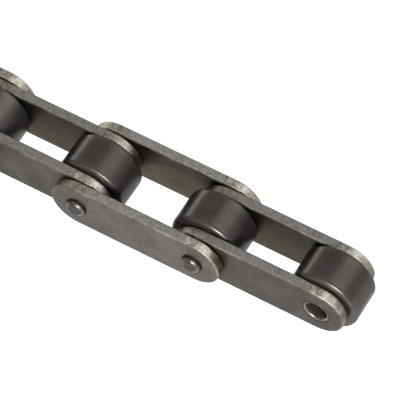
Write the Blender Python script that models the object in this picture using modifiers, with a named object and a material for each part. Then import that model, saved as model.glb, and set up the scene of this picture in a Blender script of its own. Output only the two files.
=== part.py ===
"""Double-pitch roller chain with large rollers, laid out straight.

The strand is five links long: roller link, pin link, roller link, pin link, roller link.
A roller link is two inner side plates pressed onto two bushings, each carrying a free roller.
A pin link is two outer side plates riveted onto two pins, which turn in the bushings.

Metres, +Z up, +X along the strand, the pins along Y. The origin is under the middle of the
strand, on the surface that the rollers stand on. "near" is the -Y side, "far" the +Y side.
"""

import math

import bmesh
import bpy
from mathutils import Matrix, Vector

# Driving dimensions.
PITCH = 0.0381
ROLLER_DIAMETER = 0.0220
INNER_WIDTH = 0.0127
PLATE_HEIGHT = 0.0172
PLATE_THICKNESS = 0.0032
PIN_DIAMETER = 0.00596
BUSHING_DIAMETER = 0.0084
PIN_STAND_OUT = 0.0016
LINK_COUNT = 5

# Fits and clearances, each on one side.
PIN_TO_BUSHING = 0.000045
BUSHING_TO_ROLLER = 0.00008
PRESSED_JOINT = 0.00003
ROLLER_TO_PLATE = 0.0003
PLATE_TO_PLATE = 0.00025

# Edge forms.
PLATE_EDGE = 0.0004
ROLLER_CORNER = 0.0012
ROLLER_BORE_CHAMFER = 0.0003
BUSHING_CHAMFER = 0.0003
PIN_END_ROUND = 0.0006

# Facets.
ROLLER_SIDES = 48
ROLLER_CORNER_STEPS = 3
PIN_SIDES = 24
PIN_END_STEPS = 2
PLATE_END_SIDES = 16

# Worked out from the above.
AXIS_HEIGHT = ROLLER_DIAMETER / 2
INNER_PLATE_Y = INNER_WIDTH / 2 + PLATE_THICKNESS / 2
OUTER_PLATE_Y = INNER_PLATE_Y + PLATE_THICKNESS + PLATE_TO_PLATE
PIN_HALF_LENGTH = OUTER_PLATE_Y + PLATE_THICKNESS / 2 + PIN_STAND_OUT
BUSHING_HALF_LENGTH = INNER_PLATE_Y + PLATE_THICKNESS / 2
ROLLER_HALF_WIDTH = INNER_WIDTH / 2 - ROLLER_TO_PLATE
MIDDLE_LINK = LINK_COUNT // 2

WELD_DISTANCE = 0.000001
SHARP_ANGLE = math.radians(35)
AXIS_ALONG_Y = Matrix.Rotation(math.radians(-90), 4, "X")

# Colour, roughness and metallic value of each kind of piece.
FINISHES = {
    "inner_plate": ((0.15, 0.14, 0.125, 1), 0.50, 1.0),
    "outer_plate": ((0.17, 0.16, 0.145, 1), 0.48, 1.0),
    "bushing": ((0.30, 0.29, 0.27, 1), 0.35, 1.0),
    "roller": ((0.08, 0.07, 0.07, 1), 0.30, 1.0),
    "pin": ((0.16, 0.15, 0.14, 1), 0.38, 1.0),
}


def clear_scene():
    for item in list(bpy.data.objects):
        bpy.data.objects.remove(item, do_unlink=True)


def new_collection(name):
    collection = bpy.data.collections.new(name)
    bpy.context.scene.collection.children.link(collection)
    return collection


def new_material(name, color, roughness, metallic):
    material = bpy.data.materials.new(name)
    material.use_nodes = True
    shader = material.node_tree.nodes["Principled BSDF"]
    shader.inputs["Base Color"].default_value = color
    shader.inputs["Roughness"].default_value = roughness
    shader.inputs["Metallic"].default_value = metallic
    return material


def axis_x(index):
    """X of pin axis number index, counted from 0 at the +X end of the strand."""
    return (LINK_COUNT / 2 - index) * PITCH


def arc(centre, radius, start, end, steps):
    """Points on an arc about centre, both ends included, angles in radians."""
    angles = [start + (end - start) * i / steps for i in range(steps + 1)]
    return [(centre[0] + radius * math.cos(a), centre[1] + radius * math.sin(a)) for a in angles]


def plate_outline():
    """Straight-sided outline with a half-circle end about each hole."""
    radius, half, quarter = PLATE_HEIGHT / 2, PITCH / 2, math.pi / 2
    right = arc((half, 0), radius, -quarter, quarter, PLATE_END_SIDES)
    left = arc((-half, 0), radius, quarter, 3 * quarter, PLATE_END_SIDES)
    return right + left


def mesh_of_curve(curve_object):
    """The curve's solid as a mesh, with its caps welded to its sides. The curve is removed."""
    graph = bpy.context.evaluated_depsgraph_get()
    mesh = bpy.data.meshes.new_from_object(curve_object.evaluated_get(graph))
    mesh.transform(curve_object.matrix_world)
    form = bmesh.new()
    form.from_mesh(mesh)
    bmesh.ops.remove_doubles(form, verts=form.verts, dist=WELD_DISTANCE)
    bmesh.ops.recalc_face_normals(form, faces=form.faces)
    form.to_mesh(mesh)
    form.free()
    bpy.data.objects.remove(curve_object, do_unlink=True)
    return mesh


def flat_blank(name, outline, thickness, collection):
    """A flat blank with this outline, standing in the XZ plane, centred on Y = 0."""
    curve = bpy.data.curves.new(name, "CURVE")
    curve.dimensions = "2D"
    curve.fill_mode = "BOTH"
    curve.extrude = thickness / 2
    spline = curve.splines.new("POLY")
    spline.points.add(len(outline) - 1)
    for point, (x, y) in zip(spline.points, outline):
        point.co = (x, y, 0, 1)
    spline.use_cyclic_u = True
    blank = bpy.data.objects.new(name, curve)
    blank.matrix_world = AXIS_ALONG_Y
    collection.objects.link(blank)
    bpy.context.view_layer.update()
    return mesh_of_curve(blank)


def facet_fit(sides):
    """How far a facet's edges stand outside its middle, and half a facet's turn about Z."""
    return 1 / math.cos(math.pi / sides), Matrix.Rotation(math.pi / sides, 4, "Z")


def hole_cutter(name, radius, x, collection):
    """A drill for one hole, along Y, its facets in line with those of the piece in the hole."""
    stretch, half_facet = facet_fit(PIN_SIDES)
    mesh = bpy.data.meshes.new(name)
    form = bmesh.new()
    bmesh.ops.create_cone(
        form,
        cap_ends=True,
        segments=PIN_SIDES,
        radius1=radius * stretch,
        radius2=radius * stretch,
        depth=PLATE_THICKNESS * 3,
        matrix=AXIS_ALONG_Y @ half_facet,
    )
    form.to_mesh(mesh)
    form.free()
    cutter = bpy.data.objects.new(name, mesh)
    cutter.location.x = x
    cutter.hide_render = True
    cutter.display_type = "WIRE"
    collection.objects.link(cutter)
    return cutter


def finished_mesh(worked, name):
    """The object's mesh with its modifiers worked in, shaded. The object is removed."""
    bpy.context.view_layer.update()
    graph = bpy.context.evaluated_depsgraph_get()
    mesh = bpy.data.meshes.new_from_object(worked.evaluated_get(graph))
    mesh.name = name
    mesh.shade_smooth()
    mesh.set_sharp_from_angle(angle=SHARP_ANGLE)
    bpy.data.objects.remove(worked, do_unlink=True)
    return mesh


def plate_mesh(name, hole_radius, parts, cutters):
    """A side plate with rounded edges and two holes a pitch apart, centred on the origin."""
    blank = flat_blank(name, plate_outline(), PLATE_THICKNESS, parts)
    plate = bpy.data.objects.new(name, blank)
    parts.objects.link(plate)
    edge = plate.modifiers.new("edge", "BEVEL")
    edge.width = PLATE_EDGE
    edge.segments = 1
    edge.limit_method = "ANGLE"
    for side in (-1, 1):
        drill = hole_cutter(f"{name}_drill_{side}", hole_radius, side * PITCH / 2, cutters)
        hole = plate.modifiers.new(f"hole_{side}", "BOOLEAN")
        hole.operation = "DIFFERENCE"
        hole.object = drill
    return finished_mesh(plate, name)


def turned_mesh(name, profile, closed, sides, parts):
    """A turned piece about the Y axis, from (radius, height) points, with a flat facet below.

    The profile runs down its outer side. Its radii are to the middle of a facet.
    """
    stretch, half_facet = facet_fit(sides)
    mesh = bpy.data.meshes.new(name)
    points = [(radius * stretch, 0, height) for radius, height in profile]
    edges = [(i, i + 1) for i in range(len(points) - 1)]
    if closed:
        edges.append((len(points) - 1, 0))
    mesh.from_pydata(points, edges, [])
    turned = bpy.data.objects.new(name, mesh)
    parts.objects.link(turned)
    screw = turned.modifiers.new("turn", "SCREW")
    screw.axis = "Z"
    screw.angle = 2 * math.pi
    screw.steps = sides
    screw.render_steps = sides
    screw.use_merge_vertices = True
    screw.merge_threshold = WELD_DISTANCE
    solid = finished_mesh(turned, name)
    solid.transform(AXIS_ALONG_Y @ half_facet)
    return solid


def roller_profile():
    """Closed outline of the roller's wall, rounded outside and chamfered at the bore."""
    outer, half = ROLLER_DIAMETER / 2, ROLLER_HALF_WIDTH
    bore = BUSHING_DIAMETER / 2 + BUSHING_TO_ROLLER
    round_off, quarter = ROLLER_CORNER, math.pi / 2
    top = arc((outer - round_off, half - round_off), round_off, quarter, 0, ROLLER_CORNER_STEPS)
    low = arc((outer - round_off, round_off - half), round_off, 0, -quarter, ROLLER_CORNER_STEPS)
    bottom = [(bore + ROLLER_BORE_CHAMFER, -half), (bore, ROLLER_BORE_CHAMFER - half)]
    inside = [(bore, half - ROLLER_BORE_CHAMFER), (bore + ROLLER_BORE_CHAMFER, half)]
    return top + low + bottom + inside


def bushing_profile():
    """Closed outline of the bushing's wall, chamfered inside at both mouths."""
    outer, half = BUSHING_DIAMETER / 2, BUSHING_HALF_LENGTH
    bore = PIN_DIAMETER / 2 + PIN_TO_BUSHING
    outside = [(outer, half), (outer, -half)]
    bottom = [(bore + BUSHING_CHAMFER, -half), (bore, BUSHING_CHAMFER - half)]
    top = [(bore, half - BUSHING_CHAMFER), (bore + BUSHING_CHAMFER, half)]
    return outside + bottom + top


def pin_profile():
    """Outline of the riveted pin from the middle of one end face to the middle of the other."""
    radius, half, round_off = PIN_DIAMETER / 2, PIN_HALF_LENGTH, PIN_END_ROUND
    quarter = math.pi / 2
    top = arc((radius - round_off, half - round_off), round_off, quarter, 0, PIN_END_STEPS)
    low = arc((radius - round_off, round_off - half), round_off, 0, -quarter, PIN_END_STEPS)
    return [(0, half)] + top + low + [(0, -half)]


def link_name(link):
    """Roller links and pin links take turns along the strand, each numbered from the +X end."""
    kind = "outer" if link % 2 else "inner"
    return f"{kind}_link_{link // 2 + 1}"


def pivot_index(link):
    """The axis that a link turns on: its end that is nearer to the middle of the strand."""
    return link + 1 if link < MIDDLE_LINK else link


def add_link_pivots(collection):
    """An empty for each link, on the axis it turns on, parented outwards from the middle link."""
    pivots = {}
    outward = sorted(range(LINK_COUNT), key=lambda link: abs(link - MIDDLE_LINK))
    for link in outward:
        pivot = bpy.data.objects.new(link_name(link), None)
        pivot.empty_display_size = PITCH / 4
        collection.objects.link(pivot)
        place = Vector((axis_x(pivot_index(link)), 0, AXIS_HEIGHT))
        if link == MIDDLE_LINK:
            pivot.location = place
        else:
            inward = link + 1 if link < MIDDLE_LINK else link - 1
            holder, held_at = pivots[inward]
            pivot.parent = holder
            pivot.location = place - held_at
        pivots[link] = (pivot, place)
    return pivots


def add_piece(name, mesh, place, pivot, collection):
    """One piece of the strand, placed in the world and parented to its link's pivot."""
    holder, held_at = pivot
    piece = bpy.data.objects.new(name, mesh)
    piece.parent = holder
    piece.location = Vector(place) - held_at
    collection.objects.link(piece)


def add_plates(link, mesh, offset, pivot, collection):
    """The near and the far side plate of one link."""
    kind = "outer" if link % 2 else "inner"
    middle = (axis_x(link) + axis_x(link + 1)) / 2
    for side, y in (("near", -offset), ("far", offset)):
        name = f"{kind}_plate_{link // 2 + 1}_{side}"
        add_piece(name, mesh, (middle, y, AXIS_HEIGHT), pivot, collection)


def add_roller_link(link, meshes, pivot, collection):
    add_plates(link, meshes["inner_plate"], INNER_PLATE_Y, pivot, collection)
    for axis in (link, link + 1):
        place = (axis_x(axis), 0, AXIS_HEIGHT)
        add_piece(f"bushing_{axis + 1}", meshes["bushing"], place, pivot, collection)
        add_piece(f"roller_{axis + 1}", meshes["roller"], place, pivot, collection)


def add_pin_link(link, meshes, pivot, collection):
    add_plates(link, meshes["outer_plate"], OUTER_PLATE_Y, pivot, collection)
    for axis in (link, link + 1):
        place = (axis_x(axis), 0, AXIS_HEIGHT)
        add_piece(f"pin_{axis}", meshes["pin"], place, pivot, collection)


def make_meshes(parts, cutters):
    """One mesh for each kind of piece, which all its copies share."""
    bushing_hole = BUSHING_DIAMETER / 2 + PRESSED_JOINT
    pin_hole = PIN_DIAMETER / 2 + PRESSED_JOINT
    meshes = {
        "inner_plate": plate_mesh("inner_plate", bushing_hole, parts, cutters),
        "outer_plate": plate_mesh("outer_plate", pin_hole, parts, cutters),
        "bushing": turned_mesh("bushing", bushing_profile(), True, PIN_SIDES, parts),
        "roller": turned_mesh("roller", roller_profile(), True, ROLLER_SIDES, parts),
        "pin": turned_mesh("pin", pin_profile(), False, PIN_SIDES, parts),
    }
    for kind, mesh in meshes.items():
        mesh.materials.clear()
        mesh.materials.append(new_material(f"{kind}_steel", *FINISHES[kind]))
    return meshes


def main():
    clear_scene()
    parts = new_collection("roller_chain")
    cutters = new_collection("cutters")
    cutters.hide_render = True
    meshes = make_meshes(parts, cutters)
    pivots = add_link_pivots(parts)
    for link, pivot in sorted(pivots.items()):
        add_link = add_pin_link if link % 2 else add_roller_link
        add_link(link, meshes, pivot, parts)


main()
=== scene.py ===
"""The looks of a double-pitch roller chain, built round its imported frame.

The strand is five links long and lies along X on its rollers, with its pins along Y.
Every frame node is replaced by a finer piece: side plates blanked from rolled strip, turned
rollers, curled bushings and riveted pins. Lengths are metres, and the finishes work in
millimetres of Object coordinates.
"""

import logging
import math
from collections.abc import Sequence
from dataclasses import dataclass, field
from enum import Enum

import bpy
import numpy as np
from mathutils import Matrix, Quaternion, Vector


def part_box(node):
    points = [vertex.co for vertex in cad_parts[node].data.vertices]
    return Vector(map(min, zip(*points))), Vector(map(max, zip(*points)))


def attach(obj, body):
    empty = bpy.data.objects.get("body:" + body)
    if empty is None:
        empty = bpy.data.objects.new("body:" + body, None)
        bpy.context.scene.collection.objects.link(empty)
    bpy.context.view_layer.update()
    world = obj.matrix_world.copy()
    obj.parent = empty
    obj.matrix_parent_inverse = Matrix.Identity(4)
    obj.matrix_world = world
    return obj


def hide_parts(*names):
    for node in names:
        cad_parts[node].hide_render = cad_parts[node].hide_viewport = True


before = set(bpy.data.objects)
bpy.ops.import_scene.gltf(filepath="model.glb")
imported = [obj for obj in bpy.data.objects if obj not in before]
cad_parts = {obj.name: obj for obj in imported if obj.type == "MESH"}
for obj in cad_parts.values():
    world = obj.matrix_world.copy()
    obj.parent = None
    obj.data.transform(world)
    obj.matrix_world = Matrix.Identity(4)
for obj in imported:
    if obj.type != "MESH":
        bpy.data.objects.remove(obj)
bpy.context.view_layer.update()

LOG = logging.getLogger("roller_chain")
MM = 0.001
WELD_GRAIN = 1e-7
SMOOTH_ANGLE = math.radians(40)

Color = tuple[float, float, float]
Socket = bpy.types.NodeSocket


class Side(Enum):
    """The two sides of the strand. The value is the sign of Y."""

    NEAR = -1
    FAR = 1

    @property
    def word(self) -> str:
        """The side's word in a node name."""
        return self.name.lower()


class LinkKind(Enum):
    """The two kinds of link. The value is the word in the names of their nodes."""

    ROLLER = "inner"
    PIN = "outer"


# ---------------------------------------------------------------- surfaces


def ripple(position: np.ndarray, wavelengths: Sequence[float], seed: int) -> np.ndarray:
    """A smooth, uneven wave along a line, mostly between -1 and 1.

    The sum of one sine for each wavelength, each with a phase of its own, over the root of
    their number.

    Args:
        position: distances along the line.
        wavelengths: the wavelengths, in the same unit.
        seed: picks the phases.

    Returns:
        The wave's height at each position.
    """
    phases = np.random.default_rng(seed).uniform(0, 2 * np.pi, len(wavelengths))
    waves = [np.sin(2 * np.pi * position / w + p) for w, p in zip(wavelengths, phases)]
    return np.sum(waves, axis=0) / math.sqrt(len(wavelengths))


def smooth_step(value: np.ndarray, low: float, high: float) -> np.ndarray:
    """0 below low, 1 above high, and 3t² - 2t³ between them, t running from 0 to 1."""
    t = np.clip((value - low) / (high - low), 0, 1)
    return t * t * (3 - 2 * t)


def rounded_corner(
    centre: tuple[float, float], size: float, start: float, steps: int
) -> np.ndarray:
    """A quarter turn, clockwise, in the plane of radius and height.

    Each point is the centre plus size times the cosine and sine of an angle, which falls from
    start by a right angle in equal steps.

    Args:
        centre: radius and height of the centre of the round.
        size: the radius of the round.
        start: the first angle, in degrees.
        steps: the number of steps.

    Returns:
        An array of (steps + 1, 2) radii and heights.
    """
    angle = np.radians(np.linspace(start, start - 90, steps + 1))
    return np.stack([centre[0] + size * np.cos(angle), centre[1] + size * np.sin(angle)], axis=1)


def grid_quads(rows: int, columns: int, close_rows: bool) -> np.ndarray:
    """Corner numbers of the quads of a grid whose points are numbered row by row.

    The last point of a row always joins the first.

    Args:
        rows: the number of rows of points.
        columns: the number of points in a row.
        close_rows: whether the last row joins the first.

    Returns:
        An array of (rows of quads, columns, 4) point numbers.
    """
    r = np.arange(rows if close_rows else rows - 1)[:, None]
    c = np.arange(columns)[None, :]
    r_next, c_next = (r + 1) % rows, (c + 1) % columns
    here, above = r * columns, r_next * columns
    corners = (here + c, here + c_next, above + c_next, above + c)
    return np.stack(np.broadcast_arrays(*corners), axis=-1)


def signed_volume(points: np.ndarray, triangles: np.ndarray) -> float:
    """Volume inside the triangles: a sixth of the sum of a · (b × c) over their corners."""
    a, b, c = (points[triangles[:, k]] for k in range(3))
    return float(np.einsum("ij,ij->", a, np.cross(b, c)) / 6)


def mesh_object(
    name: str, points: np.ndarray, quads: np.ndarray, marks: dict[str, np.ndarray]
) -> bpy.types.Object:
    """A smooth-shaded closed object from points and quads.

    Points in one place are welded, a quad with two corners welded becomes a triangle, and one
    with fewer than three corners left is dropped. If the volume comes out negative, every face
    is turned round.

    Args:
        name: the object's name.
        points: an array of (n, 3) places in metres.
        quads: an array of (m, 4) point numbers.
        marks: a value for each point, stored as float attributes under these names.

    Returns:
        The linked object, at the origin.
    """
    keys = np.round(points / WELD_GRAIN).astype(np.int64)
    _, first, place = np.unique(keys, axis=0, return_index=True, return_inverse=True)
    corners = place.reshape(-1)[quads]
    kept = corners != np.roll(corners, 1, axis=1)
    whole = corners[kept.sum(axis=1) == 4]
    split = corners[kept.sum(axis=1) == 3]
    triangles = split[kept[kept.sum(axis=1) == 3]].reshape(-1, 3)
    spots = points[first]
    fans = np.concatenate([whole[:, [0, 1, 2]], whole[:, [0, 2, 3]], triangles])
    if signed_volume(spots, fans) < 0:
        whole, triangles = whole[:, ::-1], triangles[:, ::-1]
    loops = np.concatenate([whole.reshape(-1), triangles.reshape(-1)])
    sizes = np.repeat([4, 3], [len(whole), len(triangles)])
    mesh = bpy.data.meshes.new(name)
    mesh.vertices.add(len(spots))
    mesh.vertices.foreach_set("co", spots.astype(np.float32).reshape(-1))
    mesh.loops.add(len(loops))
    mesh.loops.foreach_set("vertex_index", loops.astype(np.int32))
    mesh.polygons.add(len(sizes))
    mesh.polygons.foreach_set("loop_start", (np.cumsum(sizes) - sizes).astype(np.int32))
    mesh.update(calc_edges=True)
    for mark, values in marks.items():
        layer = mesh.attributes.new(mark, "FLOAT", "POINT")
        layer.data.foreach_set("value", values[first].astype(np.float32))
    mesh.shade_smooth()
    mesh.set_sharp_from_angle(angle=SMOOTH_ANGLE)
    made = bpy.data.objects.new(name, mesh)
    bpy.context.scene.collection.objects.link(made)
    return made


def turned(
    name: str,
    profile: np.ndarray,
    centre: Vector,
    angles: np.ndarray,
    closed: bool,
    marks: dict[str, np.ndarray],
    swell: np.ndarray | None = None,
) -> bpy.types.Object:
    """A piece turned about a line along Y.

    The point of profile row i at angle a is the centre plus (r cos a, h, r sin a), where r and h
    are the row's radius and height, and r also takes the swell of that row and angle.

    Args:
        name: the object's name.
        profile: an array of (rows, 2) radii and heights.
        centre: the middle of the piece.
        angles: the angles of the columns, in radians, without the closing one.
        closed: whether the profile is a closed loop, as on a tube.
        marks: a value for each row, for attributes under these names.
        swell: what is added to the radius, as (rows, angles), if anything.

    Returns:
        The object.
    """
    radius = profile[:, :1] + (0 if swell is None else swell)
    radius = np.broadcast_to(radius, (len(profile), len(angles)))
    height = np.broadcast_to(profile[:, 1:], radius.shape)
    around = [radius * np.cos(angles), height, radius * np.sin(angles)]
    points = (np.stack(around, axis=-1) + np.array(centre)).reshape(-1, 3)
    quads = grid_quads(len(profile), len(angles), closed).reshape(-1, 4)
    spread = {mark: np.repeat(values, len(angles)) for mark, values in marks.items()}
    return mesh_object(name, points, quads, spread)


# ---------------------------------------------------------------- finishes


class NodeBench:
    """Lays out the nodes of one material and joins them."""

    def __init__(self, name: str) -> None:
        """Starts a material that holds only its Principled shader and its output."""
        self.material = bpy.data.materials.new(name)
        self.material.use_nodes = True
        self.tree = self.material.node_tree
        self.shader = self.tree.nodes["Principled BSDF"]
        self.place = self._millimetres()

    def _node(
        self, kind: str, feeds: dict[str | int, object], **settings: object
    ) -> bpy.types.Node:
        """Adds a node, with its settings and what feeds its sockets: a socket or a plain value."""
        node = self.tree.nodes.new(kind)
        for setting, value in settings.items():
            setattr(node, setting, value)
        for socket, value in feeds.items():
            if isinstance(value, bpy.types.NodeSocket):
                self.tree.links.new(value, node.inputs[socket])
            else:
                node.inputs[socket].default_value = value
        return node

    def _millimetres(self) -> Socket:
        """Object coordinates in millimetres."""
        spot = self._node("ShaderNodeTexCoord", {})
        feeds = {"Vector": spot.outputs["Object"], "Scale": (1 / MM, 1 / MM, 1 / MM)}
        return self._node("ShaderNodeMapping", feeds).outputs["Vector"]

    def stretched(self, along: tuple[float, float, float]) -> Socket:
        """The place in millimetres, each axis multiplied by its own number."""
        feeds = {"Vector": self.place, "Scale": along}
        return self._node("ShaderNodeMapping", feeds).outputs["Vector"]

    def noise(
        self, pitch: float, detail: float = 3.0, place: Socket | None = None, warp: float = 0.0
    ) -> Socket:
        """Soft noise about 0.5.

        Args:
            pitch: the size of its largest lumps, in millimetres.
            detail: how many finer layers lie on them.
            place: where it is read, if not at the place in millimetres.
            warp: how far it is distorted.

        Returns:
            The noise's value.
        """
        feeds = {"Vector": place or self.place, "Scale": 1 / pitch, "Detail": detail}
        feeds["Distortion"] = warp
        return self._node("ShaderNodeTexNoise", feeds).outputs[0]

    def mark(self, name: str) -> Socket:
        """The value of one of the mesh's attributes."""
        return self._node("ShaderNodeAttribute", {}, attribute_name=name).outputs["Fac"]

    def span(
        self, value: Socket, low: float, high: float, start: float = 0.0, end: float = 1.0
    ) -> Socket:
        """Takes low..high to start..end, smoothly, and holds the ends beyond."""
        feeds = {"Value": value, "From Min": low, "From Max": high, "To Min": start, "To Max": end}
        node = self._node("ShaderNodeMapRange", feeds, interpolation_type="SMOOTHSTEP")
        return node.outputs["Result"]

    def math(self, operation: str, first: object, second: object) -> Socket:
        """One sum, such as ADD or MULTIPLY, of two values."""
        return self._node("ShaderNodeMath", {0: first, 1: second}, operation=operation).outputs[0]

    def blend(self, amount: object, first: object, second: object, kind: str = "MIX") -> Socket:
        """Two colours mixed, from all of the first at 0 to all of the second at 1."""
        pair = [c if isinstance(c, bpy.types.NodeSocket) else (*c, 1.0) for c in (first, second)]
        feeds = {"Factor": amount, 6: pair[0], 7: pair[1]}
        settings = {"data_type": "RGBA", "blend_type": kind}
        return self._node("ShaderNodeMix", feeds, **settings).outputs[2]

    def grey(self, value: Socket) -> Socket:
        """A value as a grey colour."""
        feeds = {"Red": value, "Green": value, "Blue": value}
        return self._node("ShaderNodeCombineColor", feeds).outputs["Color"]

    def bump(self, height: Socket, depth: float, below: Socket | None = None) -> Socket:
        """A normal from a height of 0 to 1, which stands for this depth in metres."""
        feeds = {"Height": height, "Distance": depth, "Strength": 1.0}
        if below is not None:
            feeds["Normal"] = below
        return self._node("ShaderNodeBump", feeds).outputs["Normal"]

    def finish(self, feeds: dict[str, object]) -> bpy.types.Material:
        """Feeds the shader's sockets and hands over the material."""
        for socket, value in feeds.items():
            if isinstance(value, bpy.types.NodeSocket):
                self.tree.links.new(value, self.shader.inputs[socket])
            else:
                self.shader.inputs[socket].default_value = value
        return self.material


@dataclass(frozen=True)
class PlateSteel:
    """Oiled, hot-rolled strip: a matt face, speckled rolled edges and paler sheared ends.

    Attributes:
        name: the material's name.
        face: the face that looks out of the strand.
        rolled_edge: the straight edges, left by the rolls.
        rust: the lower, browner part of the face that looks into the strand: a brown stain,
            darkened as painted shade.
        grime: what the painted shade at the -X end and lower down leaves of the sheared edge's
            colour, channel by channel.
        stain: dried oil, and the painted shade beside another plate's end, round the holes and in
            the notch where the sheared edge starts.
        inner_face: the upper part of the face that looks into the strand, painted dark as shade.
        sheared_edge: the round ends, where the shear has torn them.
        sheared_shade: the darker streaks of the round ends.
        rubbed: bare steel on speckles, and on the rounded rim, where it is partly worn and partly a
            painted highlight.
    """

    name: str
    face: Color
    rolled_edge: Color
    rust: Color
    grime: Color
    stain: Color = (0.040, 0.032, 0.022)
    inner_face: Color = (0.024, 0.020, 0.017)
    sheared_edge: Color = (0.53, 0.51, 0.455)
    sheared_shade: Color = (0.25, 0.225, 0.172)
    rubbed: Color = (0.40, 0.385, 0.36)

    def _faces(self, bench: NodeBench, patches: Socket, grain: Socket) -> Socket:
        """The colour of the two faces, with painted shade inwards, and oil with painted shade
        beside another plate and round the holes.
        """
        cloudy = bench.grey(bench.span(patches, 0.3, 0.75, 1.08, 0.80))
        outward = bench.blend(1.0, self.face, cloudy, "MULTIPLY")
        # Painted shade: the face towards the middle of the strand is much darker, and browner lower
        # down.
        low = bench.math("SUBTRACT", bench.span(patches, 0.3, 0.7), bench.mark("height"))
        inward = bench.blend(bench.span(low, -0.3, 1.3), self.inner_face, self.rust)
        color = bench.blend(bench.mark("inward"), outward, inward)
        # Oil stain and painted shade beside another plate's end.
        oil = bench.math("MULTIPLY", bench.mark("oil"), bench.span(patches, 0.2, 0.6, 0.5, 1.0))
        color = bench.blend(oil, color, self.stain)
        # Oil stain and painted contact shade round the holes, ragged at the outside.
        wander = bench.span(grain, 0.2, 0.8, -0.25, 0.25)
        ragged = bench.math("ADD", bench.mark("from_axis"), wander)
        return bench.blend(bench.span(ragged, 0.25, 0.9, 0.75, 0.0), color, self.stain)

    def _edge(self, bench: NodeBench, strokes: Socket) -> Socket:
        """The colour of the edge: speckled where it is rolled, streaked where it is sheared, with
        painted shade at the sheared edge's -X end and lower down.

        A dark step, the painted shade of a notch, runs where the one gives way to the other.
        """
        speckle = bench.span(bench.noise(0.32, 2.0), 0.50, 0.90)
        rolled = bench.blend(speckle, self.rolled_edge, self.rubbed)
        torn = bench.math("MULTIPLY", bench.math("ADD", strokes, bench.noise(1.6, 4.0)), 0.5)
        torn = bench.blend(bench.span(torn, 0.33, 0.67), self.sheared_shade, self.sheared_edge)
        # Painted shade: the sheared edge is darker at its -X end and lower down.
        torn_in_shade = bench.blend(1.0, torn, self.grime, "MULTIPLY")
        torn = bench.blend(bench.mark("grime"), torn, torn_in_shade)
        uneven = bench.span(strokes, 0.3, 0.7, -0.25, 0.25)
        sheared = bench.span(bench.math("ADD", bench.mark("sheared"), uneven), 0.15, 0.85)
        # Painted shade of a notch where the rolled edge gives way to the sheared one.
        step = bench.span(bench.math("PINGPONG", sheared, 0.5), 0.15, 0.5, 0.0, 0.6)
        return bench.blend(step, bench.blend(sheared, rolled, torn), self.stain)

    def material(self) -> bpy.types.Material:
        """Builds the material, which reads the plate's marks."""
        bench = NodeBench(self.name)
        patches, grain = bench.noise(9.0, 4.0, warp=0.6), bench.noise(0.45, 3.0)
        strokes = bench.noise(0.55, 3.0, bench.stretched((1.0, 0.22, 1.0)))
        wall, rim = bench.mark("wall"), bench.mark("rim")
        torn_wall = bench.math("MULTIPLY", wall, bench.mark("sheared"))
        color = bench.blend(wall, self._faces(bench, patches, grain), self._edge(bench, strokes))
        # Rounded rim paler: partly wear, partly a painted highlight.
        worn_and_sheen = bench.math("MULTIPLY", rim, bench.span(patches, 0.30, 0.62, 0.35, 0.05))
        color = bench.blend(worn_and_sheen, color, self.rubbed)
        mottle = bench.span(bench.noise(1.7, 3.0), 0.3, 0.7, 0.93, 1.07)
        mottle = bench.math("MULTIPLY", mottle, bench.span(grain, 0.25, 0.75, 0.72, 1.30))
        color = bench.blend(1.0, color, bench.grey(mottle), "MULTIPLY")
        fine = bench.span(grain, 0.2, 0.8, -0.05, 0.08)
        rough = bench.math("ADD", bench.span(patches, 0.3, 0.7, 0.40, 0.50), fine)
        rough = bench.math("ADD", rough, bench.math("MULTIPLY", rim, 0.08))
        rough = bench.math("SUBTRACT", rough, bench.math("MULTIPLY", torn_wall, 0.08))
        tooth = bench.bump(bench.noise(0.22, 2.0), 0.006 * MM)
        feeds = {
            "Base Color": color,
            "Roughness": rough,
            "Metallic": 0.95,
            "Specular Tint": (0.80, 0.78, 0.76, 1),
            "Normal": bench.bump(bench.math("MULTIPLY", torn_wall, strokes), 0.06 * MM, tooth),
        }
        return bench.finish(feeds)


@dataclass(frozen=True)
class RollerSteel:
    """Turned, hardened and oil-blackened steel."""

    name: str = "blackened_roller_steel"
    body: Color = (0.062, 0.055, 0.052)
    brown: Color = (0.054, 0.046, 0.042)
    pale: Color = (0.092, 0.084, 0.079)

    def material(self) -> bpy.types.Material:
        """Builds the material."""
        bench = NodeBench(self.name)
        clouds, grain = bench.noise(6.0, 4.0, warp=0.8), bench.noise(0.35, 2.0)
        color = bench.blend(bench.span(clouds, 0.32, 0.55), self.brown, self.body)
        color = bench.blend(bench.mark("wear"), color, self.pale)
        color = bench.blend(bench.span(grain, 0.66, 0.82, 0.0, 0.5), color, self.pale)
        # Outer corners paler: partly wear, partly a painted highlight.
        color = bench.blend(bench.math("MULTIPLY", bench.mark("rim"), 0.35), color, self.pale)
        rough = bench.span(clouds, 0.3, 0.7, 0.27, 0.36)
        feeds = {
            "Base Color": color,
            "Roughness": rough,
            "Metallic": 0.77,
            "Specular Tint": (0.60, 0.59, 0.58, 1),
            "Normal": bench.bump(grain, 0.0015 * MM),
        }
        return bench.finish(feeds)


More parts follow.
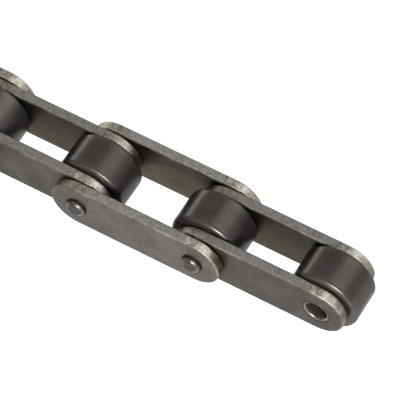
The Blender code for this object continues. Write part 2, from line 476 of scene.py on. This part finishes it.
@dataclass(frozen=True)
class BushingSteel:
    """Curled and hardened strip: the outer chamfer made bright by wear and a painted highlight, on
    a bore darkened by oil and painted shade.
    """

    name: str = "curled_bushing_steel"
    end: Color = (0.062, 0.055, 0.050)
    mouth: Color = (0.20, 0.19, 0.175)
    bore: Color = (0.040, 0.034, 0.026)

    def material(self) -> bpy.types.Material:
        """Builds the material, which reads the marks mouth and bore."""
        bench = NodeBench(self.name)
        grain, clouds = bench.noise(0.3, 3.0), bench.noise(2.0, 3.0)
        # Bore darker: oil and painted shade inside the hole.
        color = bench.blend(bench.mark("bore"), self.end, self.bore)
        # Outer edge of the chamfer paler: partly rubbed, partly a painted highlight.
        shine = bench.math("MULTIPLY", bench.mark("mouth"), bench.span(clouds, 0.3, 0.6, 0.55, 1.0))
        color = bench.blend(shine, color, self.mouth)
        mottle = bench.grey(bench.span(grain, 0.2, 0.8, 0.6, 1.3))
        color = bench.blend(0.3, color, mottle, "MULTIPLY")
        feeds = {
            "Base Color": color,
            "Roughness": bench.span(clouds, 0.3, 0.7, 0.26, 0.38),
            "Metallic": bench.span(bench.mark("bore"), 0.3, 1.0, 1.0, 0.4),
            "Normal": bench.bump(grain, 0.002 * MM),
        }
        return bench.finish(feeds)


@dataclass(frozen=True)
class PinSteel:
    """Ground pin: a dark spun end, its edge made bright partly by wear and partly by a painted
    highlight.
    """

    name: str = "riveted_pin_steel"
    shank: Color = (0.086, 0.080, 0.074)
    end: Color = (0.026, 0.022, 0.020)
    rubbed: Color = (0.28, 0.264, 0.247)

    def material(self) -> bpy.types.Material:
        """Builds the material, which reads the marks end and rim."""
        bench = NodeBench(self.name)
        grain, clouds = bench.noise(0.35, 3.0), bench.noise(1.6, 3.0)
        color = bench.blend(bench.mark("end"), self.shank, self.end)
        # Spun rim paler: partly wear, partly a painted highlight.
        worn_and_sheen = bench.math("MULTIPLY", bench.mark("rim"), bench.span(clouds, 0.35, 0.65, 0.0, 0.40))
        color = bench.blend(worn_and_sheen, color, self.rubbed)
        mottle = bench.grey(bench.span(grain, 0.2, 0.8, 0.55, 1.35))
        color = bench.blend(0.35, color, mottle, "MULTIPLY")
        feeds = {
            "Base Color": color,
            "Roughness": bench.span(grain, 0.3, 0.7, 0.30, 0.42),
            "Metallic": 1.0,
            "Normal": bench.bump(clouds, 0.01 * MM),
        }
        return bench.finish(feeds)


# ---------------------------------------------------------------- pieces


@dataclass
class Piece:
    """One finished piece of the strand, which stands for one frame node.

    Attributes:
        node: the frame node that it replaces.
        body: the body that it rides on.
        slot: the record's material slot.
        name: the piece's own name.
    """

    node: str
    body: str
    slot: str
    name: str

    @property
    def centre(self) -> Vector:
        """The middle of the frame node's box."""
        low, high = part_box(self.node)
        return (low + high) / 2

    @property
    def size(self) -> Vector:
        """The sides of the frame node's box."""
        low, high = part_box(self.node)
        return high - low

    def build(self) -> bpy.types.Object:
        """Builds the piece's mesh."""
        raise NotImplementedError

    def dress(self, made: bpy.types.Object, finish: bpy.types.Material) -> None:
        """Gives the piece its finish and its body, and hides the frame node it stands for."""
        made.data.materials.append(finish)
        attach(made, self.body)
        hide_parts(self.node)
        LOG.info("%s: %d faces, rides on %s", made.name, len(made.data.polygons), self.body)


@dataclass
class SidePlate(Piece):
    """A side plate: a round-ended blank with two holes a pitch apart.

    Attributes:
        side: the side of the strand it is on.
        hole: radius of its holes.
        hole_round: size of the rounding at a hole's mouth.
        live: which of its two ends, (+X, -X), lies under or over another link's plate.
        seed: picks the unevenness of its edges.
        edge: size of the rounding along its outline.
        torn: how far the lower part of a sheared edge stands back.
        ragged: how far the rounding along its outline wanders.
        scored: how deep the scores across a sheared edge run.
        edge_waves: wavelengths of the rounding's unevenness.
        score_waves: distances between the scores, as wavelengths.
        torn_from: place across the thickness, positive outwards, where the torn part starts.
        torn_to: place, further inwards, from which the edge is wholly torn.
        wall_turn: the angles round the edge's rounding between which the mark wall rises
            from 0 to 1, in radians.
        crowding: how much closer the rows on a face lie near its edge; 1 for even ones.
        sheared_from: where the sheared edge starts, from a hole's centre towards the end.
        sheared_blend: the length over which the rolled edge gives way to it.
        oil_reach: how far the oil film and painted shade beside another plate's end spread.
        oil_under: how far in under that plate's end they also lie.
        under_grime: the mark height, with its sign turned, where the painted shade starts to show
            and where it is full, going down.
        tail_shade: how much painted shade lies on the sheared edge at its -X end.
        end_steps: columns round one end.
        hole_steps: columns beside a hole, in a quarter turn.
        straight_steps: columns along the straight between the holes, on half of the plate.
        face_steps: rows across a face.
        wall_steps: rows down the edge.
        round_steps: rows round each rounding.
    """

    side: Side = Side.NEAR
    hole: float = 3.0 * MM
    hole_round: float = 0.3 * MM
    live: tuple[bool, bool] = (True, True)
    seed: int = 0
    edge: float = 0.55 * MM
    torn: float = 0.05 * MM
    ragged: float = 0.035 * MM
    scored: float = 0.012 * MM
    edge_waves: tuple[float, ...] = (2.1 * MM, 3.7 * MM, 0.9 * MM)
    score_waves: tuple[float, ...] = (0.61 * MM, 0.97 * MM, 1.5 * MM)
    torn_from: float = 0.4 * MM
    torn_to: float = -0.9 * MM
    wall_turn: tuple[float, float] = (0.75, 1.35)
    crowding: float = 1.4
    sheared_from: float = -3.6 * MM
    sheared_blend: float = 1.8 * MM
    oil_reach: float = 1.6 * MM
    oil_under: float = 1.0 * MM
    under_grime: tuple[float, float] = (-0.8, -0.3)
    tail_shade: float = 0.55
    end_steps: int = 96
    hole_steps: int = 24
    straight_steps: int = 24
    face_steps: int = 14
    wall_steps: int = 8
    round_steps: int = 5

    def half_columns(self) -> dict[str, np.ndarray]:
        """The columns of the +X half, anticlockwise from the middle of its lower edge.

        Along the straight, a column at x runs from the outline at (x, ±R) straight inwards, to
        the middle line or, beside the hole, to the hole's edge: x = h - r sin a and
        z = ±r cos a, for a from 0 to a right angle. Round the end it runs along a radius.

        Returns:
            Arrays of the columns' outline points, outline normals, inner points on the face,
            directions from the hole's centre, and whether each ends on the hole.
        """
        half, radius, reach = self.half_pitch, self.size.z / 2, self.hole + self.hole_round
        run = np.linspace(0, half - reach, self.straight_steps + 1)[:-1]
        quarter = np.linspace(0, np.pi / 2, self.hole_steps + 1)[1:]
        turn = np.linspace(-np.pi / 2, np.pi / 2, self.end_steps + 1)
        beside = np.stack([-np.sin(quarter), np.cos(quarter)], axis=1)
        below, above = beside[::-1] * (1, -1), beside
        round_end = np.stack([np.cos(turn), np.sin(turn)], axis=1)
        direction = np.concatenate([below, round_end, above])
        inner = direction * reach + (half, 0)
        outline = np.concatenate([
            np.stack([inner[: len(below), 0], np.full(len(below), -radius)], axis=1),
            round_end * radius + (half, 0),
            np.stack([inner[-len(above):, 0], np.full(len(above), radius)], axis=1),
        ])
        straight = np.tile((0, 1), (len(beside), 1))
        normal = np.concatenate([-straight, round_end, straight])
        spine = np.stack([run, np.zeros_like(run)], axis=1)
        down, up = np.tile((0.0, -1.0), (len(run), 1)), np.tile((0.0, 1.0), (len(run), 1))
        return {
            "outline": np.concatenate([spine + down * radius, outline, spine[::-1] + up * radius]),
            "normal": np.concatenate([down, normal, up]),
            "inner": np.concatenate([spine, inner, spine[::-1]]),
            "direction": np.concatenate([down, direction, up]),
            "on_hole": np.repeat([False, True, False], [len(run), len(direction), len(run)]),
        }

    @property
    def half_pitch(self) -> float:
        """Half the distance between the two holes."""
        return (self.size.x - self.size.z) / 2

    def columns(self) -> dict[str, np.ndarray]:
        """All columns: those of the +X half, then the same turned half round."""
        half = self.half_columns()
        both = {}
        for key, values in half.items():
            turned_round = values[:-1] if key == "on_hole" else -values[:-1]
            both[key] = np.concatenate([values[:-1], turned_round])
        both["hole_x"] = np.repeat([self.half_pitch, -self.half_pitch], len(half["normal"]) - 1)
        return both

    def half_section(
        self, columns: dict[str, np.ndarray], along: np.ndarray
    ) -> list[tuple[np.ndarray, float, float, float]]:
        """The rows of the section's +Y half, from the hole's wall to the edge.

        With t from 0 to a right angle, the rounding at the hole is reach = hole + round (1 -
        cos t) at depth = half thickness - round (1 - sin t), and the outline's rounding stands
        back by edge (1 - sin t) at depth = half thickness - edge (1 - cos t).

        Args:
            columns: the plate's columns.
            along: how far round the outline each column lies.

        Returns:
            For each row its places in the plate's plane, its depth, and the marks wall and rim.
        """
        thick, outline, normal = self.size.y / 2, columns["outline"], columns["normal"]
        edge = self.edge + self.ragged * ripple(along, self.edge_waves, self.seed)[:, None]
        on_hole, direction = columns["on_hole"][:, None], columns["direction"]
        centre = np.stack([columns["hole_x"], np.zeros(len(normal))], axis=1)
        quarter = np.linspace(0, np.pi / 2, self.round_steps + 1)
        rows = []
        for angle in quarter[:-1]:
            reach = self.hole + self.hole_round * (1 - math.cos(angle))
            flat = np.where(on_hole, centre + direction * reach, columns["inner"])
            rows.append((flat, thick - self.hole_round * (1 - math.sin(angle)), 0.0, 0.0))
        rim_start = outline - normal * edge
        for share in 1 - np.linspace(1, 0, self.face_steps + 1) ** self.crowding:
            flat = columns["inner"] * (1 - share) + rim_start * share
            rows.append((flat, thick, 0.0, float(share == 1)))
        for angle in quarter[1:]:
            depth = thick - self.edge * (1 - math.cos(angle))
            wall = float(smooth_step(np.array(angle), *self.wall_turn))
            rim = max(0.0, math.sin(2 * angle)) ** 0.5
            rows.append((outline - normal * edge * (1 - math.sin(angle)), depth, wall, rim))
        return rows

    def rows(
        self, columns: dict[str, np.ndarray]
    ) -> tuple[np.ndarray, dict[str, np.ndarray], np.ndarray]:
        """The plate's section at every column, once round.

        It runs from the hole's wall over the hole's rounding, across the +Y face to the
        outline's rounding, down the edge, and back the same way on the -Y face.

        Args:
            columns: the plate's columns.

        Returns:
            The points as (rows, columns, 3), the marks as (rows, columns), and which rows of
            quads belong to the hole.
        """
        outline, normal = columns["outline"], columns["normal"]
        along = np.unwrap(np.arctan2(outline[:, 1], outline[:, 0])) * self.half_pitch
        upper = self.half_section(columns, along)
        down = np.linspace(1, -1, self.wall_steps + 1)[1:-1] * (self.size.y / 2 - self.edge)
        across = [(outline, depth, 1.0, 0.0) for depth in down]
        lower = [(flat, -depth, wall, rim) for flat, depth, wall, rim in reversed(upper)]
        flats, *rest = zip(*upper, *across, *lower)
        flat = np.stack(flats)
        depth, wall, rim = (np.repeat(np.array(v)[:, None], len(normal), axis=1) for v in rest)
        past_hole = np.abs(flat[..., 0]) - self.half_pitch
        sheared = smooth_step(past_hole, self.sheared_from, self.sheared_from + self.sheared_blend)
        lower_part = smooth_step(depth * self.side.value, self.torn_from, self.torn_to)
        scores = ripple(along, self.score_waves, self.seed + 1)
        back = wall * sheared * (self.torn * lower_part + self.scored * (1 + scores))
        flat = flat - normal * back[..., None]
        points = np.stack([flat[..., 0], depth, flat[..., 1]], axis=-1)
        marks = {"wall": wall, "rim": rim, "sheared": sheared, **self.face_marks(flat, depth)}
        hole_rows = np.zeros(len(points), bool)
        hole_rows[: self.round_steps] = True
        hole_rows[-self.round_steps - 1:] = True
        return points, marks, hole_rows

    def face_marks(self, flat: np.ndarray, depth: np.ndarray) -> dict[str, np.ndarray]:
        """Marks that follow the place on a face.

        Args:
            flat: places in the plate's plane, as (rows, columns, 2).
            depth: the places along the plate's thickness.

        Returns:
            inward, 1 on the face towards the middle of the strand, which is painted darker as
            shade; height, from -1 at the lower edge to 1 at the upper one; grime, how much
            painted shade lies at the -X end and underneath; from_axis, the distance beyond the
            nearest hole's edge in millimetres; and oil, 1 in the oil film and painted shade that
            another plate's end leaves beside it.
        """
        to_plus = np.hypot(flat[..., 0] - self.half_pitch, flat[..., 1])
        to_minus = np.hypot(flat[..., 0] + self.half_pitch, flat[..., 1])
        # Marks the face towards the middle of the strand, which is painted darker as shade.
        inward = (depth * self.side.value < 0).astype(float)
        # Oil stain and painted shade beside the end of another link's plate.
        past_end = [np.where(live, far, 1.0) for live, far in zip(self.live, (to_plus, to_minus))]
        gap = np.minimum(*past_end) - self.size.z / 2
        oil = np.exp(-np.clip(gap, 0, None) / self.oil_reach) * (gap > -self.oil_under)
        height = flat[..., 1] / (self.size.z / 2)
        # Painted shade on the sheared edge, at the -X end and lower down.
        tail = self.tail_shade * smooth_step(-flat[..., 0], 0, self.half_pitch)
        under = smooth_step(-height, *self.under_grime)
        return {
            "inward": inward,
            "height": height,
            "grime": 1 - (1 - tail) * (1 - under),
            "from_axis": (np.minimum(to_plus, to_minus) - self.hole) / MM,
            "oil": oil,
        }

    def build(self) -> bpy.types.Object:
        """Builds the plate's mesh from its rows and columns."""
        columns = self.columns()
        points, marks, hole_rows = self.rows(columns)
        quads = grid_quads(points.shape[0], points.shape[1], close_rows=True)
        on_hole = columns["on_hole"]
        both = on_hole & np.roll(on_hole, -1)
        quads = quads[~hole_rows[:, None] | both[None, :]]
        places = points.reshape(-1, 3) + np.array(self.centre)
        return mesh_object(self.name, places, quads, {k: v.reshape(-1) for k, v in marks.items()})


@dataclass
class Roller(Piece):
    """A plain roller: a thick turned ring with rounded corners.

    Attributes:
        wear: how much of its dark oxide is rubbed off, from 0 to 1.
        bore: radius of its bore.
        corner: size of its outer corners' rounding.
        bore_edge: size of the rounding at the bore.
        columns: columns round it.
        round_steps: rows round an outer corner.
    """

    wear: float = 0.0
    bore: float = 4.3 * MM
    corner: float = 1.25 * MM
    bore_edge: float = 0.4 * MM
    columns: int = 192
    round_steps: int = 10

    def profile(self) -> tuple[np.ndarray, np.ndarray]:
        """The ring's section, once round, and a mark that is 1 on its outer corners."""
        outer, half, inner = self.size.z / 2, self.size.y / 2, self.bore
        corner, edge = self.corner, self.bore_edge
        tread = np.linspace(half - corner, corner - half, 7)[1:-1]
        parts = [
            rounded_corner((outer - corner, half - corner), corner, 90, self.round_steps),
            np.stack([np.full_like(tread, outer), tread], axis=1),
            rounded_corner((outer - corner, corner - half), corner, 0, self.round_steps),
            np.array([[(outer + inner) / 2, -half]]),
            rounded_corner((inner + edge, edge - half), edge, -90, 4),
            rounded_corner((inner + edge, half - edge), edge, -180, 4),
            np.array([[(outer + inner) / 2, half]]),
        ]
        marks = [np.full(len(part), float(i in (0, 2))) for i, part in enumerate(parts)]
        return np.concatenate(parts), np.concatenate(marks)

    def build(self) -> bpy.types.Object:
        """Builds the roller's mesh."""
        profile, rim = self.profile()
        angles = np.linspace(0, 2 * np.pi, self.columns, endpoint=False)
        marks = {"rim": rim, "wear": np.full(len(rim), self.wear)}
        return turned(self.name, profile, self.centre, angles, True, marks)


@dataclass
class Bushing(Piece):
    """A bushing curled from strip, with a fine butt seam and a chamfered bore.

    Attributes:
        bore: radius of its bore.
        mouth: radius at which the chamfer meets the tapered entry of the bore.
        chamfer: width of the chamfer at the bore's mouth.
        bend: where the chamfer steepens, in chamfers out from the mouth and in from the end.
        taper: how deep the middle and the end of the tapered entry lie, in chamfers.
        lip: width of the rubbed line round the chamfer.
        edge: size of the rounding at its outside.
        seam_angle: where the seam lies, in degrees from +X towards +Z.
        seam_depth: depth of the seam's groove.
        columns: columns round it, besides those at the seam.
    """

    bore: float = 3.03 * MM
    mouth: float = 3.35 * MM
    chamfer: float = 0.38 * MM
    bend: tuple[float, float] = (0.4, 0.5)
    taper: tuple[float, float] = (3.0, 5.0)
    lip: float = 0.10 * MM
    edge: float = 0.15 * MM
    seam_angle: float = -98.0
    seam_depth: float = 0.10 * MM
    columns: int = 120

    def profile(self) -> tuple[np.ndarray, dict[str, np.ndarray]]:
        """The wall's section, once round, with the marks mouth and bore."""
        outer, half, inner, edge = self.size.z / 2, self.size.y / 2, self.bore, self.edge
        entry = self.mouth + self.chamfer
        out, deep = (self.chamfer * share for share in self.bend)
        middle, end = (self.chamfer * share for share in self.taper)
        low_cone = np.array([
            (entry, -half),
            (self.mouth + out, deep - half),
            (self.mouth, self.chamfer - half),
            ((self.mouth + inner) / 2, middle - half),
            (inner, end - half),
        ])
        straight = np.linspace(-1, 1, 7)[1:-1] * (half - end)
        # The outer chamfer is marked to be painted paler, partly wear and partly a highlight; the
        # deeper chamfer is painted dark with the bore, as shade.
        worn_and_sheen = np.array([1.0, 1.0, 0.0, 0.0, 0.0])
        lip = np.array([[entry + self.lip, -half]])
        parts = [
            lip * (1, -1),
            rounded_corner((outer - edge, half - edge), edge, 90, 3),
            rounded_corner((outer - edge, edge - half), edge, 0, 3),
            lip,
            low_cone,
            np.stack([np.full_like(straight, inner), straight], axis=1),
            (low_cone * (1, -1))[::-1],
        ]
        mouth = np.concatenate([np.zeros(10), worn_and_sheen, np.zeros(5), worn_and_sheen[::-1]])
        bore = np.concatenate([np.zeros(10), 1 - worn_and_sheen, np.ones(5), 1 - worn_and_sheen[::-1]])
        return np.concatenate(parts), {"mouth": mouth, "bore": bore}

    def build(self) -> bpy.types.Object:
        """Builds the bushing: its radius changes by the seam's depth times a narrow bell.

        The bell is e to the minus square of the angle from the seam over its half width. It
        takes from the outside and adds to the bore.
        """
        profile, marks = self.profile()
        seam = math.radians(self.seam_angle)
        near_seam = seam + np.radians(np.linspace(-4, 4, 17))
        wide = seam + np.linspace(math.radians(5), 2 * np.pi - math.radians(5), self.columns)
        angles = np.concatenate([near_seam, wide])
        bell = np.exp(-(((angles - seam) / math.radians(1.2)) ** 2))
        bell[len(near_seam):] = 0
        middle = (self.size.z / 2 + self.bore) / 2
        outward = np.where(profile[:, 0] > middle, -1.0, 1.0)[:, None]
        swell = outward * bell[None, :] * self.seam_depth
        return turned(self.name, profile, self.centre, angles, True, marks, swell)


@dataclass
class Pin(Piece):
    """A solid pin, its two ends spun over by riveting.

    Attributes:
        facet: radius of the flat middle of an end.
        shoulder: how far the rounded shoulder beside it runs down the pin.
        first_slope: how steeply the shoulder leaves the facet, in degrees.
        dish: how deep the middle of an end is dished.
        uneven: how far the spun rim wanders inwards.
        bend_steps: steps across the shoulder.
        seed: picks the unevenness of the shoulder.
        columns: columns round it.
    """

    facet: float = 1.95 * MM
    shoulder: float = 1.25 * MM
    first_slope: float = 28.0
    dish: float = 0.05 * MM
    uneven: float = 0.03 * MM
    bend_steps: int = 14
    seed: int = 0
    columns: int = 96

    def end_profile(self) -> tuple[np.ndarray, np.ndarray, np.ndarray]:
        """One end's outline from its middle to the shank, with the marks end and rim.

        Down the shoulder a slope t grows evenly to a right angle. The radius follows sin t and
        the height cos t, both scaled to the shoulder's width and depth.
        """
        radius, half = self.size.z / 2, self.size.y / 2
        inside = np.linspace(0, 1, 7)[:-1]
        dished = np.stack([inside * self.facet, half - self.dish * (1 - inside**2)], axis=1)
        bend = np.linspace(0, 1, self.bend_steps + 1)
        t = np.radians(self.first_slope + (90 - self.first_slope) * bend)
        out, down = np.sin(t) - np.sin(t[0]), np.cos(t[0]) - np.cos(t)
        shoulder = np.stack([self.facet + (radius - self.facet) * out / out[-1],
                             half - self.shoulder * down / down[-1]], axis=1)
        profile = np.concatenate([dished, shoulder])
        end = np.concatenate([np.ones(len(dished)), np.clip(1 - 6 * bend, 0, 1)])
        rim = np.concatenate([np.zeros(len(dished)), smooth_step(bend, 0.2, 0.7) * (bend < 0.95)])
        return profile, end, rim

    def build(self) -> bpy.types.Object:
        """Builds the pin: both ends and the shank between, with a slightly uneven spun rim."""
        profile, end, rim = self.end_profile()
        half_marks = {"end": end, "rim": rim}
        whole = np.concatenate([profile, (profile * (1, -1))[::-1]])
        marks = {mark: np.concatenate([half, half[::-1]]) for mark, half in half_marks.items()}
        angles = np.linspace(0, 2 * np.pi, self.columns, endpoint=False)
        wave = ripple(angles, [2 * np.pi / 3, 2 * np.pi / 7, 2 * np.pi / 11], self.seed)
        swell = -self.uneven * marks["rim"][:, None] * (1 + wave[None, :]) / 2
        return turned(self.name, whole, self.centre, angles, False, marks, swell)


# ---------------------------------------------------------------- links


@dataclass
class Link:
    """One link of the strand: its two side plates and what joins them.

    Attributes:
        number: its place in the strand, from 0 at the +X end.
        count: how many links the strand has.
        finishes: the materials by kind of piece.
        roller_wear: the wear of the strand's rollers, from the +X end.
    """

    number: int
    count: int
    finishes: dict[str, bpy.types.Material] = field(repr=False)
    roller_wear: tuple[float, ...] = (0.0, 0.10, 0.0, 0.55, 0.1, 0.2)

    @property
    def kind(self) -> LinkKind:
        """Roller links and pin links take turns, from a roller link."""
        return LinkKind.PIN if self.number % 2 else LinkKind.ROLLER

    @property
    def turn(self) -> int:
        """The link's own number among the links of its kind, from 1."""
        return self.number // 2 + 1

    @property
    def body(self) -> str:
        """The body that the link's plates ride on."""
        return f"{self.kind.value}_link_{self.turn}"

    def plates(self) -> list[SidePlate]:
        """The near and the far side plate."""
        live = (self.number > 0, self.number < self.count - 1)
        made = []
        for side in Side:
            node = f"{self.kind.value}_plate_{self.turn}_{side.word}"
            name = f"{self.kind.value}_side_plate_{self.turn}_{side.word}"
            plate = SidePlate(node, self.body, f"{self.kind.value}_plate", name, side=side)
            plate.seed = 10 * self.number + side.value + 1
            if self.kind is LinkKind.ROLLER:
                plate.hole, plate.hole_round, plate.live = 4.23 * MM, 0.12 * MM, live
            else:
                plate.hole, plate.hole_round, plate.live = 3.01 * MM, 0.35 * MM, (False, False)
            made.append(plate)
        return made

    def joining_pieces(self) -> list[Piece]:
        """The bushings and rollers of a roller link, or the pins of a pin link."""
        made: list[Piece] = []
        for axis in (self.number, self.number + 1):
            if self.kind is LinkKind.PIN:
                made.append(Pin(f"pin_{axis}", self.body, "pin", f"riveted_pin_{axis}", seed=axis))
                continue
            at = axis + 1
            made.append(Bushing(f"bushing_{at}", self.body, "bushing", f"curled_bushing_{at}"))
            roller = Roller(f"roller_{at}", f"roller_{at}", "roller", f"turned_roller_{at}")
            roller.wear = self.roller_wear[axis]
            made.append(roller)
        return made

    def build(self) -> None:
        """Builds and dresses every piece of the link."""
        for piece in [*self.plates(), *self.joining_pieces()]:
            piece.dress(piece.build(), self.finishes[piece.slot])


@dataclass
class Strand:
    """The whole strand, link by link."""

    link_count: int = 5

    def finishes(self) -> dict[str, bpy.types.Material]:
        """One material for each of the record's slots."""
        return {
            "inner_plate": PlateSteel(
                name="rolled_inner_plate_steel",
                face=(0.069, 0.063, 0.058),
                rolled_edge=(0.250, 0.236, 0.218),
                rust=(0.053, 0.044, 0.032),
                grime=(0.33, 0.31, 0.27),
            ).material(),
            "outer_plate": PlateSteel(
                name="rolled_outer_plate_steel",
                face=(0.103, 0.094, 0.086),
                rolled_edge=(0.315, 0.297, 0.275),
                rust=(0.075, 0.063, 0.045),
                grime=(0.58, 0.54, 0.47),
            ).material(),
            "roller": RollerSteel().material(),
            "bushing": BushingSteel().material(),
            "pin": PinSteel().material(),
        }

    def build(self) -> None:
        """Builds the links in order from the +X end."""
        finishes = self.finishes()
        for number in range(self.link_count):
            Link(number, self.link_count, finishes).build()


# ---------------------------------------------------------------- studio


@dataclass(frozen=True)
class Softbox:
    """A square of soft light that faces the strand.

    Attributes:
        name: its name.
        azimuth: where it stands, in degrees: 0 in front (-Y), 90 at +X.
        elevation: its height above the floor, in degrees.
        distance: how far off it stands.
        width: its width.
        height: its height.
        power: its power in watts.
    """

    name: str
    azimuth: float
    elevation: float
    distance: float
    width: float
    height: float
    power: float

    def place(self, target: Vector) -> None:
        """Puts the light up, facing the target."""
        light = bpy.data.lights.new(self.name, "AREA")
        light.shape = "RECTANGLE"
        light.size, light.size_y, light.energy = self.width, self.height, self.power
        a, e = math.radians(self.azimuth), math.radians(self.elevation)
        towards = Vector((math.sin(a) * math.cos(e), -math.cos(a) * math.cos(e), math.sin(e)))
        lamp = bpy.data.objects.new(self.name, light)
        lamp.location = target + towards * self.distance
        lamp.rotation_euler = towards.to_track_quat("Z", "Y").to_euler()
        bpy.context.scene.collection.objects.link(lamp)


@dataclass(frozen=True)
class Studio:
    """A pale floor, an even pale surround, softboxes and the camera.

    Attributes:
        floor_side: the floor's side.
        floor_drop: how far the floor lies below the rollers.
        surround: strength of the surround's light.
        floor_glow: strength of the floor's own light.
        target: the point the softboxes face.
        camera_place: where the camera stands.
        camera_aim: the point it looks at.
        camera_roll: its turn about its own line of sight, in degrees.
        lens: its focal length in millimetres, on a sensor 36 mm wide.
        softboxes: the lights.
    """

    floor_side: float = 6.0
    floor_drop: float = 0.10
    surround: float = 0.52
    floor_glow: float = 0.95
    target: Vector = Vector((0.04, 0.0, 0.011))
    camera_place: Vector = Vector((0.2715, -0.3594, 0.6735))
    camera_aim: Vector = Vector((0.04857, 0.00648, 0.011))
    camera_roll: float = -1.38
    lens: float = 248.16
    softboxes: tuple[Softbox, ...] = (
        Softbox("front_key", 24, 29, 0.9, 0.40, 0.20, 12.0),
        Softbox("left_low", -118, 6, 0.9, 0.30, 0.20, 0.7),
        Softbox("rear_right", 135, 50, 1.3, 0.9, 0.9, 3.8),
    )

    def floor(self) -> None:
        """A pale floor that glows a little so that its shadows stay soft.

        It lies below the rollers by as much as the strand's ends reach when every link is bent
        down.
        """
        half, low = self.floor_side / 2, -self.floor_drop
        mesh = bpy.data.meshes.new("floor")
        corners = [(-half, -half, low), (half, -half, low), (half, half, low), (-half, half, low)]
        mesh.from_pydata(corners, [], [(0, 1, 2, 3)])
        bench = NodeBench("pale_floor")
        mesh.materials.append(bench.finish({
            "Base Color": (0.35, 0.35, 0.35, 1),
            "Roughness": 0.9,
            "Emission Color": (1, 1, 1, 1),
            "Emission Strength": self.floor_glow,
        }))
        ground = bpy.data.objects.new("floor", mesh)
        bpy.context.scene.collection.objects.link(ground)

    def surroundings(self) -> None:
        """An even, pale surround."""
        world = bpy.data.worlds.new("surround")
        world.use_nodes = True
        sky = world.node_tree.nodes["Background"]
        sky.inputs["Color"].default_value = (1, 1, 1, 1)
        sky.inputs["Strength"].default_value = self.surround
        bpy.context.scene.world = world
        bpy.context.scene.view_settings.view_transform = "Standard"

    def camera(self) -> None:
        """The camera, aimed by its place, the point it looks at and a small roll."""
        eye = bpy.data.cameras.new("camera")
        eye.lens, eye.sensor_width = self.lens, 36.0
        eye.clip_start, eye.clip_end = 0.01, 20.0
        holder = bpy.data.objects.new("camera", eye)
        holder.location = self.camera_place
        look = (self.camera_aim - self.camera_place).to_track_quat("-Z", "Y")
        roll = Quaternion((0, 0, 1), math.radians(self.camera_roll))
        holder.rotation_euler = (look @ roll).to_euler()
        bpy.context.scene.collection.objects.link(holder)
        bpy.context.scene.camera = holder

    def build(self) -> None:
        """Sets up the floor, the surround, the lights and the camera."""
        self.floor()
        self.surroundings()
        for softbox in self.softboxes:
            softbox.place(self.target)
        self.camera()


def main() -> None:
    """Builds the strand, then the studio."""
    logging.basicConfig(level=logging.INFO, format="%(message)s")
    Strand().build()
    Studio().build()


if __name__ == "__main__":
    main()
